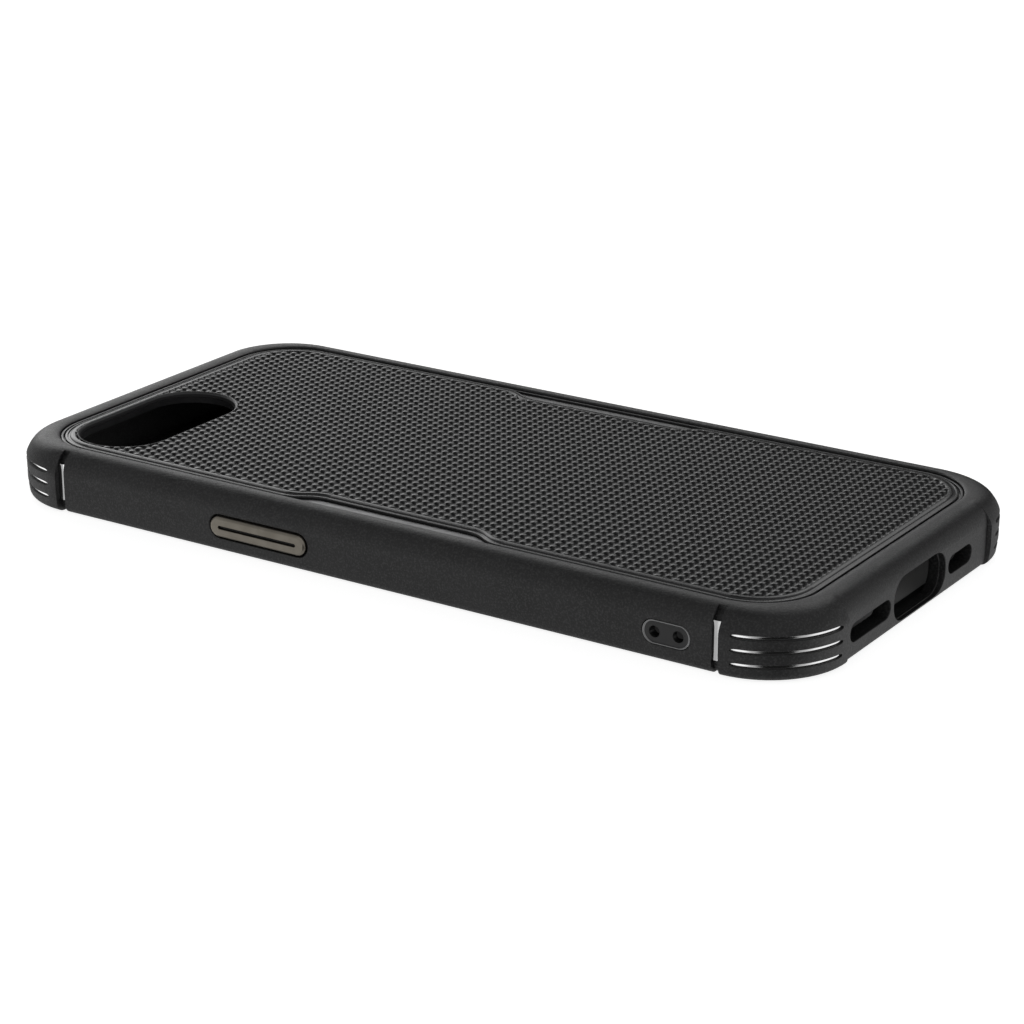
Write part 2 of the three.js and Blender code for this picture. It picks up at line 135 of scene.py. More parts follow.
# Grooves, slots and inserts of the corner blocks.
GROOVE = (61.3, 62.7)
GROOVE_DEPTH = 0.5
GROOVE_UNDER = 0.25
GROOVE_END_X = 35.4
SLOT_HEIGHTS = (2.5, 4.7, 6.9)
SLOT_HALF = 0.3
RIB_DEPTH = 0.32
SLOT_ANGLES = (13.4, 76.5)
SLOT_LIP = 0.1
SLOT_TAPER = 4.0
SLOT_TIP = 0.06
INSERT_PROUD = 0.17
INSERT_FACE = PANEL_OFFSET - GROOVE_DEPTH + INSERT_PROUD
INSERT_THICKNESS = 0.7
INSERT_ANGLES = (2.2, 78.4)
RIB_SEAM = 0.03
RIB_SHORTER = 0.4

# The insert's strip: cut short at its foot and head, and sunk beside the groove by these millimetres
# at these degrees from its start. The sinking is full at the camera end and a share at the port end.
STRIP_SHORT = (0.7, 0.4)
EASE_ANGLES = np.array([0.0, 1.0, 2.0, 3.0])
EASE_SINKS = np.array([0.24, 0.13, 0.04, 0.0])
EASE_SHARE = {1: 1.0, -1: 0.3}
STRIP_EVEN_FROM = 7.0

# The back.
PLATE_CORNER = 9.9
PLATE_EDGE = 10.08
PLATE_TOP = plate_high[2] - 0.03
PLATE_BEVEL = 1.35
BEVEL_LINE = (0.45, 0.85)
BEVEL_LINE_DEPTH = 0.16
BORDER = 0.25
BORDER_SLOPE = 0.35
NOTCH_DEPTH = 2.35
NOTCH_MIDDLE = (strip_low[1] + strip_high[1]) / 2
NOTCH_OUTER = 21.0
NOTCH_INNER = 13.3
STUD_PITCH = 1.605
STUD_HEIGHT = 0.42
STUD_FLOOR = 10.0
STUD_UNDER = 0.08
STUD_ROOT = 0.1
STUD_TRIM = 0.02
STUD_WELD = 1e-4

# The camera window.
BEZEL_WIDTH = 1.2
BEZEL_OUTER = 1.0
BEZEL_INNER = 0.5
BEZEL_DEPTH = 0.3
WINDOW_MIDDLE = (bezel_low[:2] + bezel_high[:2]) / 2
WINDOW_LENGTH, WINDOW_WIDTH = bezel_high[:2] - bezel_low[:2] - 2 * BEZEL_WIDTH

# The port end.
PORT_Z = 4.45
PORT_SIZE = (16.6, 6.9)
PORT_CORNER = 3.0
PORT_STEP = (0.45, 0.9)
PORT_LIP = 0.15
PORT_STEP_LIP = 0.1
SPEAKER = (-16.4, 13.0, 3.0)
MICROPHONE = (14.0, 8.3, 3.0)

# Buttons and strap anchor.
CAP_PROUD = 0.45
CAP_THICKNESS = 1.25
CAP_CHAMFER = 0.35
CAP_BACK = PANEL_X + CAP_PROUD - CAP_THICKNESS
CAP_SLOT_HEIGHT = 0.55
CAP_SLOT_MARGIN = 1.75
CAP_SLOT_LIP = 0.09
BUTTON_TRAVEL = 0.35
RIDGE_ROOT = 0.1
RIDGE_RECESS = 0.45
RECESS_GAP = 0.3
RECESS_LIP = 0.22
STEM_MARGIN = 3.3
STEM_HEIGHT = 1.4
STRAP_MIDDLE = (strap_low + strap_high) / 2
STRAP_LENGTH, STRAP_HEIGHT = (strap_high - strap_low)[1:]
STRAP_SEAM = 0.12
STRAP_POCKET_LIP = 0.08
STRAP_THICKNESS = 1.3
STRAP_DISH = 0.13
STRAP_HOLE = 0.9
STRAP_HOLE_LIP = 0.06
STRAP_SPACING = 4.0
BUTTONS = {"power_button": -1, "action_button": 1, "volume_up": 1, "volume_down": 1}
QUADRANTS = [(x, y) for x in (-1, 1) for y in (-1, 1)]

# ------------------------------------------------------------------ outlines

# Ray angles about a corner's centre, in degrees. The close pairs carry the block in and out.
GROOVE_RAMP = (2.9, 6.2)
END_RAMP = (83.0, 83.4)
CORNER_ANGLES = [0.0, *GROOVE_RAMP, *np.linspace(9.0, 80.0, 19), *END_RAMP, 87.0, 90.0]


def corner_point(half_x, half_y, radius, angle):
    """Where a ray from the corner's centre meets a rounded rectangle's first quadrant."""
    turn = math.radians(angle)
    ray = np.array([math.cos(turn), math.sin(turn)])
    if ray[0] > 1e-6:
        side_y = CENTRE[1] + (half_x - CENTRE[0]) * ray[1] / ray[0]
        if side_y <= half_y - radius:
            return np.array([half_x, side_y])
    if ray[1] > 1e-6:
        end_x = CENTRE[0] + (half_y - CENTRE[1]) * ray[0] / ray[1]
        if end_x <= half_x - radius:
            return np.array([end_x, half_y])
    to_arc = np.array([half_x - radius, half_y - radius]) - CENTRE
    along = ray @ to_arc
    reach = along + math.sqrt(along**2 - to_arc @ to_arc + radius**2)
    return CENTRE + reach * ray


def mirrored(quarter, right=None):
    """A whole ring from its first quadrant, with optional points along the right side."""
    quarter = np.asarray(quarter)
    flip = lambda points, x, y: points * np.array([x, y, 1.0])[: points.shape[1]]
    parts = [quarter, flip(quarter[::-1], -1, 1), flip(quarter, -1, -1), flip(quarter[::-1], 1, -1)]
    if right is not None:
        left = right[::-1] * np.array([-1.0, 1.0])
        parts = [right, parts[0], parts[1], left, parts[2], parts[3]]
    return np.vstack(parts)


def notch_curve(outer, depth, steps=14):
    """The right side's notch, from -Y to +Y."""
    middle = (NOTCH_OUTER + NOTCH_INNER) / 2
    inner = outer - depth
    start, hold, end = (outer, -NOTCH_OUTER), (outer, -middle), (inner, -NOTCH_INNER)
    points = []
    for t in np.linspace(0, 1, steps):
        weights = np.array([(1 - t) ** 3, 3 * t * (1 - t) ** 2, 3 * t * t * (1 - t), t**3])
        points.append(weights @ np.array([start, hold, (inner, -middle), end]))
    half = np.array(points)
    whole = np.vstack([half, half[::-1] * np.array([1.0, -1.0])])
    return whole + np.array([0.0, NOTCH_MIDDLE])


def rounded(half_x, half_y, radius, notch=0.0):
    quarter = [corner_point(half_x, half_y, radius, a) for a in CORNER_ANGLES]
    return mirrored(quarter, notch_curve(half_x, notch) if notch else None)


def inset_rim(margin):
    return rounded(RIM_X - margin, RIM_Y - margin, RIM_CORNER - margin)


def plate_outline(inset):
    return rounded(plate_high[0] - inset, plate_high[1] - inset, PLATE_CORNER - inset, NOTCH_DEPTH)


def stadium(length, height, steps=14):
    """A slot outline about the origin, with round ends."""
    radius = height / 2
    reach = length / 2 - radius
    turns = np.linspace(-math.pi / 2, math.pi / 2, steps)
    end = np.stack([reach + radius * np.cos(turns), radius * np.sin(turns)], 1)
    return np.vstack([end, -end])


def soft_box(length, height, radius):
    """A rounded rectangle about the origin, with equal point counts for every size."""
    turns = np.linspace(0, math.pi / 2, 9)
    centre = np.array([length / 2 - radius, height / 2 - radius])
    quarter = centre + radius * np.stack([np.cos(turns), np.sin(turns)], 1)
    return mirrored(quarter)


def at_height(points, z):
    return np.hstack([points, np.full((len(points), 1), z)])


# ------------------------------------------------------------------ meshes

def make_object(name, vertices, faces):
    mesh = bpy.data.meshes.new(name)
    mesh.from_pydata((np.asarray(vertices) * MM).tolist(), [], faces)
    edit = bmesh.new()
    edit.from_mesh(mesh)
    bmesh.ops.recalc_face_normals(edit, faces=edit.faces)
    edit.to_mesh(mesh)
    edit.free()
    made = bpy.data.objects.new(name, mesh)
    bpy.context.scene.collection.objects.link(made)
    return made


def bands(count, total, loop=False):
    """The faces between rings of count points, numbered ring after ring."""
    faces = []
    for level in range(total if loop else total - 1):
        low = level * count
        high = ((level + 1) % total) * count
        for i in range(count):
            after = (i + 1) % count
            faces.append((low + i, low + after, high + after, high + i))
    return faces


def loft(name, rings, loop=False):
    """A solid skinned over rings of equal count: capped at both ends, or closed on itself."""
    count = len(rings[0])
    total = len(rings)
    faces = bands(count, total, loop)
    if not loop:
        faces.append(tuple(range(count))[::-1])
        faces.append(tuple(range((total - 1) * count, total * count)))
    return make_object(name, np.vstack(rings), faces)


def prism(name, points, low, high):
    return loft(name, [at_height(points, low), at_height(points, high)])


def boolean(body, tools, operation="DIFFERENCE"):
    """Cuts or joins tools into body's own mesh, and removes them."""
    for tool in tools:
        step = body.modifiers.new("step", "BOOLEAN")
        step.solver = "MANIFOLD"
        step.operation = operation
        step.object = tool
    graph = bpy.context.evaluated_depsgraph_get()
    baked = bpy.data.meshes.new_from_object(body.evaluated_get(graph))
    body.modifiers.clear()
    body.data = baked
    for tool in tools:
        bpy.data.objects.remove(tool)


def install(piece, node, finish, angle=28.0):
    """Shades the piece, gives it its finish, and puts it in its CAD node's place."""
    body = frame["nodes"][node]["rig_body"]
    piece.data.shade_smooth()
    piece.data.set_sharp_from_angle(angle=math.radians(angle))
    piece.data.materials.clear()
    piece.data.materials.append(finish)
    even = piece.modifiers.new("even", "WEIGHTED_NORMAL")
    even.keep_sharp = True
    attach(piece, body)
    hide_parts(node)


# ------------------------------------------------------------------ side features

def side_points(side, y, z, outline, depth):
    """An outline in the plane of the left (-1) or right (1) wall, at a depth from the middle."""
    flat = np.asarray(outline)
    x = np.full(len(flat), side * depth)
    return np.stack([x, y + side * flat[:, 0], z + flat[:, 1]], 1)


def end_points(x, z, outline, depth):
    """An outline in the plane of the port end's wall, at a depth from the middle."""
    flat = np.asarray(outline)
    y = np.full(len(flat), -depth)
    return np.stack([x + flat[:, 0], y, z + flat[:, 1]], 1)


LIP_TURNS = np.radians([0, 25, 50, 70, 90])


def lip_levels(lip, surface):
    """A rounded lip as (growth, depth), up to the surface."""
    return [(lip * (1 - math.cos(t)), surface - lip + lip * math.sin(t)) for t in LIP_TURNS]


def flared(place, shape, near, surface, lip):
    """Rings of a cutter that opens with a rounded lip where it leaves the surface."""
    levels = [(0.0, near), *lip_levels(lip, surface), (lip, surface + PAST)]
    return [place(shape(grow), depth) for grow, depth in levels]


# ------------------------------------------------------------------ bumper

def block_weight(angle):
    """0 on the panels and 1 on the corner block."""
    onto = np.clip((angle - GROOVE_RAMP[0]) / (GROOVE_RAMP[1] - GROOVE_RAMP[0]), 0, 1)
    off = np.clip((END_RAMP[1] - angle) / (END_RAMP[1] - END_RAMP[0]), 0, 1)
    return min(onto, off)


def wall_ring(panel, block, share):
    """One level of the outer wall, from [offset, z] on the panels and on the blocks."""
    quarter = []
    for angle in CORNER_ANGLES:
        weight = block_weight(angle)
        flat = corner_point(CREST_X + panel[0], CREST_Y + panel[0], CREST_CORNER + panel[0], angle)
        tight = CREST_CORNER + block[0] - share * BLOCK_TIGHTER
        proud = corner_point(CREST_X + block[0], CREST_Y + block[0], tight, angle)
        place = flat + weight * (proud - flat)
        quarter.append([*place, panel[1] + weight * (block[1] - panel[1])])
    return mirrored(quarter)


def wall_levels():
    """The outer section from the resting face up to the crest, as (panel, block, share)."""
    levels = []
    for turn in np.radians(np.linspace(0, 90, 8)):
        rise = LOW_ROUND * (1 - math.cos(turn))
        panel = PANEL_LOW[0] + (PANEL_LOW[1] - PANEL_LOW[0]) * math.sin(turn)
        block = BLOCK_LOW[0] + (BLOCK_LOW[1] - BLOCK_LOW[0]) * math.sin(turn) ** BLOCK_LOW_FALL
        levels.append(((panel, rise), (block, rise), 1.0))
    levels += [(panel, block, 1.0) for panel, block in zip(PANEL_RISE, BLOCK_RISE)]
    for turn in np.radians(np.linspace(0, 90, 19)):
        across, up = max(math.cos(turn), 0.0), math.sin(turn)
        panel = np.array([PANEL_OFFSET * across, SHOULDER + (CASE_HEIGHT - SHOULDER) * up])
        full = np.array([BLOCK_OFFSET * across, BLOCK_SHOULDER + (CASE_HEIGHT - BLOCK_SHOULDER) * up])
        merge = np.clip((turn - BLOCK_MERGE[0]) / (BLOCK_MERGE[1] - BLOCK_MERGE[0]), 0, 1)
        block = full + merge * merge * (3 - 2 * merge) * (panel - full)
        share = across**BLOCK_CORNER_FALL + CROWN_TIGHTER * math.sin(2 * turn)
        levels.append((tuple(panel), tuple(block), share))
    return levels


def bumper_rings():
    """The bumper's whole section: up the outside, over the rim, and down inside to the front lip."""
    rings = [wall_ring(*level) for level in wall_levels()]
    for turn in np.radians(np.linspace(0, 90, 7))[1:]:
        share = math.sin(turn)
        outline = rounded(
            CREST_X + (RIM_X - CREST_X) * share,
            CREST_Y + (RIM_Y - CREST_Y) * share,
            CREST_CORNER + (RIM_CORNER - CREST_CORNER) * share,
        )
        rings.append(at_height(outline, RIM_HEIGHT + (CASE_HEIGHT - RIM_HEIGHT) * math.cos(turn)))
    cavity = lambda inset: rounded(CAVITY_X - inset, CAVITY_Y - inset, CAVITY_CORNER - inset)
    inner = [
        (inset_rim(0), LEDGE_HEIGHT),
        (inset_rim(LEDGE_OVERLAP - LEDGE_SOFT), LEDGE_HEIGHT),
        (inset_rim(LEDGE_OVERLAP), LEDGE_HEIGHT - LEDGE_SOFT),
        (inset_rim(LEDGE_OVERLAP), CAVITY_TOP),
        (cavity(CAVITY_SOFT), CAVITY_TOP),
        (cavity(0), CAVITY_TOP - CAVITY_SOFT),
        (cavity(0), LIP_HEIGHT + CAVITY_SOFT),
        (cavity(CAVITY_SOFT), LIP_HEIGHT),
        (cavity(LIP_OVERLAP - LIP_SOFT), LIP_HEIGHT),
        (cavity(LIP_OVERLAP), LIP_HEIGHT - LIP_SOFT),
        (cavity(LIP_OVERLAP), FOOT_SOFT),
        (cavity(LIP_OVERLAP - FOOT_SOFT), 0.0),
    ]
    return rings + [at_height(outline, z) for outline, z in inner]


def quadrant_loft(name, rings, x, y):
    flip = np.array([x, y, 1.0])
    return loft(name, [ring * flip for ring in rings])


def concentric(offset, angle):
    """A point on an arc about the corner's centre."""
    turn = math.radians(angle)
    return CENTRE + (CREST_CORNER + offset) * np.array([math.cos(turn), math.sin(turn)])


def block_point(offset, angle):
    """A point on the corner block's own outline, which is tighter."""
    radius = CREST_CORNER + offset - BLOCK_TIGHTER
    return corner_point(CREST_X + offset, CREST_Y + offset, radius, angle)


def swept(sections):
    """Rings from (angle, [(point function, offset, z), ...]) along a corner."""
    return [np.array([[*place(offset, angle), z] for place, offset, z in row]) for angle, row in sections]


def strip_sections(gap, ease):
    """The insert's strip, eased off beside the groove, or the pocket that holds it with a gap."""
    low, high = insert_low[2] + STRIP_SHORT[0] - gap, insert_high[2] - STRIP_SHORT[1] + gap
    inner, outer = INSERT_FACE - INSERT_THICKNESS - gap, INSERT_FACE + gap
    turn = math.degrees(gap / (CREST_CORNER + INSERT_FACE))
    start, end = INSERT_ANGLES[0] - turn, INSERT_ANGLES[1] + turn
    angles = np.concatenate([start + EASE_ANGLES, np.linspace(start + STRIP_EVEN_FROM, end, 20)])
    sections = []
    for angle, sink in zip(angles, np.interp(angles, start + EASE_ANGLES, EASE_SINKS)):
        face = outer - ease * sink
        corners = ((inner, low), (face, low), (face, high), (inner, high))
        sections.append((angle, [(concentric, offset, z) for offset, z in corners]))
    return sections


def block_face(z):
    """How far the block's wall stands outside the crest at a height."""
    offsets, heights = zip(*BLOCK_FACE)
    return float(np.interp(z, heights, offsets))


def taper(angle):
    """1 along a slot, rounding off to a thin tip at both ends."""
    near = min(angle - SLOT_ANGLES[0], SLOT_ANGLES[1] - angle) / SLOT_TAPER
    return 1.0 if near >= 1 else SLOT_TIP + (1 - SLOT_TIP) * math.sqrt(max(0.0, 1 - (1 - near) ** 2))


def slot_angles():
    """Ray angles along a slot, close together round its tips."""
    start, end = SLOT_ANGLES
    tips = SLOT_TAPER * (1 - np.cos(np.linspace(0, math.pi / 2, 7)))
    middle = np.linspace(start + SLOT_TAPER, end - SLOT_TAPER, 20)[1:-1]
    return np.concatenate([start + tips, middle, (end - tips)[::-1]])


def slot_sections(z):
    """A cutter that opens one slot of a corner block, with a lip rounded into the wall."""
    sections = []
    for angle in slot_angles():
        half = SLOT_HALF * taper(angle)
        lip = SLOT_LIP * taper(angle)
        side = []
        for sign in (-1, 1):
            face = block_face(z + sign * half)
            levels = [(0.0, INSERT_FACE - SEAM), *lip_levels(lip, face), (lip, face + 1.0)]
            side.append([(block_point, offset, z + sign * (half + grow)) for grow, offset in levels])
        sections.append((angle, side[0] + side[1][::-1]))
    return sections


# The rib's slightly crowned face, as [share of its half height, sink].
RIB_CROWN = ((-1.0, 0.03), (-0.6, 0.006), (0.0, 0.0), (0.6, 0.006), (1.0, 0.03))


def rib_sections(z):
    """The insert's rib that fills one slot up to a little below the wall."""
    sections = []
    root = INSERT_FACE - 2 * SEAM
    face = block_face(z) - RIB_DEPTH
    start, end = SLOT_ANGLES[0] + RIB_SHORTER, SLOT_ANGLES[1] - RIB_SHORTER
    for angle in np.unique(np.clip(slot_angles(), start, end)):
        half = (SLOT_HALF - RIB_SEAM) * taper(angle)
        row = [(root, z - half)]
        row += [(face - sink, z + share * half) for share, sink in RIB_CROWN]
        row += [(root, z + half)]
        sections.append((angle, [(block_point, offset, level) for offset, level in row]))
    return sections


def groove_cutter(x, y):
    """A square channel down the wall: its floor follows the panel, just under the insert's face."""
    depth = GROOVE_DEPTH + GROOVE_UNDER
    floor = [(PANEL_LOW[0] - depth, -1.0), (PANEL_LOW[0] - depth, 0.0)]
    for turn in np.radians([30, 60, 90]):
        rise = LOW_ROUND * (1 - math.cos(turn))
        floor.append((PANEL_LOW[0] + (PANEL_LOW[1] - PANEL_LOW[0]) * math.sin(turn) - depth, rise))
    flat = PANEL_OFFSET - depth
    floor.append((flat, PANEL_RISE[1][1]))
    top = math.degrees(math.acos((GROOVE_END_X - CREST_X) / flat))
    for turn in np.radians(np.linspace(0, top, 9)):
        height = CASE_HEIGHT - SHOULDER - depth
        floor.append((flat * math.cos(turn), SHOULDER + height * math.sin(turn)))
    above, outside = CASE_HEIGHT + PAST, PANEL_OFFSET + PAST
    section = np.array(floor + [(floor[-1][0], above), (outside, above), (outside, -1.0)])
    rings = []
    for along in GROOVE:
        ring = np.stack([CREST_X + section[:, 0], np.full(len(section), along), section[:, 1]], 1)
        rings.append(ring)
    return quadrant_loft("groove_cut", rings, x, y)


def button_box(name):
    low, high = node_box(f"{name}_cap")
    return (low[1] + high[1]) / 2, (low[2] + high[2]) / 2, high[1] - low[1], high[2] - low[2]


def button_cutters():
    made = []
    for name, side in BUTTONS.items():
        y, z, length, height = button_box(name)
        place = lambda outline, depth: side_points(side, y, z, outline, depth)
        grow = 2 * RECESS_GAP
        recess = lambda lip: stadium(length + grow + 2 * lip, height + grow + 2 * lip)
        floor = CAP_BACK - RIDGE_ROOT - BUTTON_TRAVEL - SEAM
        made.append(loft("recess_cut", flared(place, recess, floor, PANEL_X, RECESS_LIP)))
        stem = stadium(length - 2 * STEM_MARGIN + grow, STEM_HEIGHT + grow)
        made.append(loft("stem_cut", [place(stem, CAVITY_X - PAST), place(stem, PANEL_X)]))
    return made


def strap_place(outline, depth, shift=0.0):
    """An outline about the strap anchor's middle, or shifted from it along the wall."""
    return side_points(-1, STRAP_MIDDLE[1] + shift, STRAP_MIDDLE[2], outline, depth)


def strap_cutters():
    pocket = lambda lip: stadium(
        STRAP_LENGTH + 2 * STRAP_SEAM + 2 * lip, STRAP_HEIGHT + 2 * STRAP_SEAM + 2 * lip
    )
    floor = PANEL_X - STRAP_THICKNESS - SEAM
    rings = flared(strap_place, pocket, floor, PANEL_X, STRAP_POCKET_LIP)
    passage = stadium(STRAP_SPACING + 2 * STRAP_HOLE, 2 * STRAP_HOLE)
    ends = [strap_place(passage, depth) for depth in (CAVITY_X - PAST, PANEL_X)]
    return [loft("strap_cut", rings), loft("passage_cut", ends)]


def port_cutters():
    """The charging port, wider in its outer step, and the two sound openings beside it."""
    made = []
    width, height = PORT_SIZE
    wider, deep = PORT_STEP
    box = lambda grow, lip: soft_box(width + 2 * grow + 2 * lip, height + 2 * lip, PORT_CORNER + lip)
    hole = lambda lip: box(0.0, lip)
    wide = lambda lip: box(wider, lip)
    place = lambda outline, depth: end_points(0.0, PORT_Z, outline, depth)
    step = PANEL_Y - deep
    made.append(loft("port_cut", flared(place, hole, CAVITY_Y - PAST, step, PORT_STEP_LIP)))
    made.append(loft("port_step_cut", flared(place, wide, step, PANEL_Y, PORT_LIP)))
    for x, length, height in (SPEAKER, MICROPHONE):
        slot = lambda lip: stadium(length + 2 * lip, height + 2 * lip)
        spot = lambda outline, depth: end_points(x, PORT_Z, outline, depth)
        made.append(loft("sound_cut", flared(spot, slot, CAVITY_Y - PAST, PANEL_Y, PORT_LIP)))
    return made


def build_bumper(finish):
    frame_piece = loft("bumper_moulding", bumper_rings(), loop=True)
    tools = []
    for x, y in QUADRANTS:
        tools.append(groove_cutter(x, y))
        tools.append(quadrant_loft("pocket_cut", swept(strip_sections(SEAM, EASE_SHARE[y])), x, y))
        tools += [quadrant_loft("slot_cut", swept(slot_sections(z)), x, y) for z in SLOT_HEIGHTS]
    tools += button_cutters() + strap_cutters() + port_cutters()
    boolean(frame_piece, tools)
    install(frame_piece, "bumper_frame", finish)


def build_inserts(finish):
    for x, y in QUADRANTS:
        node = f"corner_insert_{'camera' if y > 0 else 'port'}_{'right' if x > 0 else 'left'}"
        strip = quadrant_loft(node + "_strip", swept(strip_sections(0.0, EASE_SHARE[y])), x, y)
        ribs = [quadrant_loft("rib", swept(rib_sections(z)), x, y) for z in SLOT_HEIGHTS]
        boolean(strip, ribs, "UNION")
        install(strip, node, finish)


# ------------------------------------------------------------------ back

def window_outline(margin):
    return stadium(WINDOW_LENGTH + 2 * margin, WINDOW_WIDTH + 2 * margin, 28) + WINDOW_MIDDLE


def build_shell(finish):
    """The hard shell: its edge lies on the bumper's ledge, and its thin lip stands round the plate."""
    lip = 0.4
    soft = 0.08
    top = shell_high[2]
    floor = plate_low[2] - SEAM
    seat = LEDGE_OVERLAP + RIM_GAP
    levels = [
        (inset_rim(seat + 0.1), CAVITY_TOP),
        (inset_rim(seat), CAVITY_TOP + 0.1),
        (inset_rim(seat), LEDGE_HEIGHT + SEAM),
        (inset_rim(RIM_GAP), LEDGE_HEIGHT + SEAM),
        (inset_rim(RIM_GAP), top - soft),
        (inset_rim(RIM_GAP + soft * 0.3), top - soft * 0.3),
        (inset_rim(RIM_GAP + soft), top),
        (inset_rim(RIM_GAP + lip - soft), top),
        (inset_rim(RIM_GAP + lip - soft * 0.3), top - soft * 0.3),
        (inset_rim(RIM_GAP + lip), top - soft),
        (inset_rim(RIM_GAP + lip), floor),
    ]
    shell = loft("shell_moulding", [at_height(outline, z) for outline, z in levels])
    boolean(shell, [prism("window_cut", window_outline(BEZEL_INNER - SEAM), 0, CASE_HEIGHT)])
    install(shell, "inner_shell", finish)


# One stud of the plate, as rings of [share of the pitch from the middle, share of the height, share
# of their reach that the corners keep].
STUD_RINGS = ((0.5, 0.0, 1.0), (0.44, 0.04, 0.96), (0.29, 0.84, 0.9), (0.2, 0.97, 0.84))
STUD_AROUND = np.array([(1, -1), (1, 0), (1, 1), (0, 1), (-1, 1), (-1, 0), (-1, -1), (0, -1)], float)
STUD_SIDES = len(STUD_AROUND)


def stud_cell():
    """One stud's vertices, its faces but for the sides of its root, and where the root's ring starts."""
    corner = np.abs(STUD_AROUND).sum(1) > 1
    parts = []
    for share, height, keep in STUD_RINGS:
        flat = STUD_AROUND * share * np.where(corner, keep, 1.0)[:, None]
        parts.append(at_height(flat * STUD_PITCH, height * STUD_HEIGHT))
    parts.append(np.array([[0.0, 0.0, STUD_HEIGHT]]))
    parts.append(at_height(STUD_AROUND * 0.5 * STUD_PITCH, -STUD_ROOT))
    apex = len(STUD_RINGS) * STUD_SIDES
    last, root = apex - STUD_SIDES, apex + 1
    faces = bands(STUD_SIDES, len(STUD_RINGS))
    faces += [(last + i, last + (i + 1) % STUD_SIDES, apex) for i in range(STUD_SIDES)]
    faces.append(tuple(range(root, root + STUD_SIDES))[::-1])
    return np.vstack(parts), faces, root


def stud_field():
    """Staggered rows of flat-topped pyramids with softened corners, as one closed solid."""
    cell, faces, root = stud_cell()
    across = int(plate_high[0] // STUD_PITCH) + 1
    along = int(plate_high[1] // STUD_PITCH) + 1
    places = []
    for row in range(-along, along + 1):
        columns = np.arange(-across - 1, across + 1) + 0.5 * (row % 2)
        places += [(column * STUD_PITCH, row * STUD_PITCH, STUD_FLOOR) for column in columns]
    vertices = (np.array(places)[:, None, :] + cell[None]).reshape(-1, 3)
    grid = np.round(vertices / STUD_WELD).astype(np.int64)
    keys, inverse = np.unique(grid, axis=0, return_inverse=True)
    cells = inverse.reshape(-1, len(cell)).tolist()
    solid = [tuple(own[i] for i in face) for own in cells for face in faces]
    rims = {}
    for own in cells:
        for i in range(STUD_SIDES):
            after = (i + 1) % STUD_SIDES
            edge = (min(own[i], own[after]), max(own[i], own[after]))
            wall = (own[i], own[after], own[root + after], own[root + i])
            rims[edge] = None if edge in rims else wall
    solid += [wall for wall in rims.values() if wall]
    return make_object("stud_field", keys * STUD_WELD, solid)


def sloped_wall(inset, bottom):
    """The field's outline, drawing in from the border's edge down to the floor between the studs."""
    levels = [
        (BORDER_SLOPE, bottom),
        (BORDER_SLOPE, STUD_FLOOR),
        (0.0, PLATE_TOP),
        (0.0, CASE_HEIGHT + PAST),
    ]
    return [at_height(plate_outline(inset + more), z) for more, z in levels]


def build_plate(finish):
    """The bevelled plate with a line sunk in its bevel, a field of studs and the camera window."""
    foot, soft, brow = 0.06, 0.05, 0.04
    slope = (PLATE_TOP - PLATE_EDGE) / PLATE_BEVEL
    on_bevel = lambda inset: PLATE_EDGE + inset * slope
    start, end = BEVEL_LINE
    levels = [
        (foot, plate_low[2]),
        (0.0, plate_low[2] + foot),
        (0.0, PLATE_EDGE - soft),
        (soft, PLATE_EDGE),
        (start - soft, on_bevel(start - soft)),
        (start, on_bevel(start) - brow),
        (start + soft, on_bevel(start) - BEVEL_LINE_DEPTH),
        (end - soft, on_bevel(end) - BEVEL_LINE_DEPTH),
        (end, on_bevel(end) - brow),
        (end + soft, on_bevel(end + soft)),
        (PLATE_BEVEL - soft, PLATE_TOP - 0.01),
        (PLATE_BEVEL, PLATE_TOP),
    ]
    plate = loft("plate_moulding", [at_height(plate_outline(inset), z) for inset, z in levels])
    inside = PLATE_BEVEL + BORDER
    boolean(plate, [loft("recess_cut", sloped_wall(inside, STUD_FLOOR - STUD_UNDER))])
    studs = stud_field()
    trim = loft("field_trim", sloped_wall(inside - STUD_TRIM, STUD_FLOOR - PAST))
    boolean(studs, [trim], "INTERSECT")
    boolean(plate, [studs], "UNION")
    boolean(plate, [prism("window_cut", window_outline(BEZEL_OUTER + SEAM), 0, CASE_HEIGHT + 1)])
    install(plate, "back_plate", finish, angle=50.0)


def build_bezel(finish):
    """The smooth ring round the camera window, sloping down inwards."""
    low, top = bezel_low[2], bezel_high[2]
    levels = [
        (BEZEL_OUTER, low),
        (BEZEL_OUTER, top - 0.05),
        (BEZEL_OUTER - 0.05, top),
        (BEZEL_OUTER - 0.12, top),
        (BEZEL_OUTER - 0.16, top - 0.02),
        (BEZEL_INNER + 0.08, top - BEZEL_DEPTH + 0.04),
        (BEZEL_INNER + 0.03, top - BEZEL_DEPTH - 0.01),
        (BEZEL_INNER, top - BEZEL_DEPTH - 0.08),
        (BEZEL_INNER, low),
    ]
    ring = loft("window_ring", [at_height(window_outline(m), z) for m, z in levels], loop=True)
    install(ring, "camera_bezel", finish)


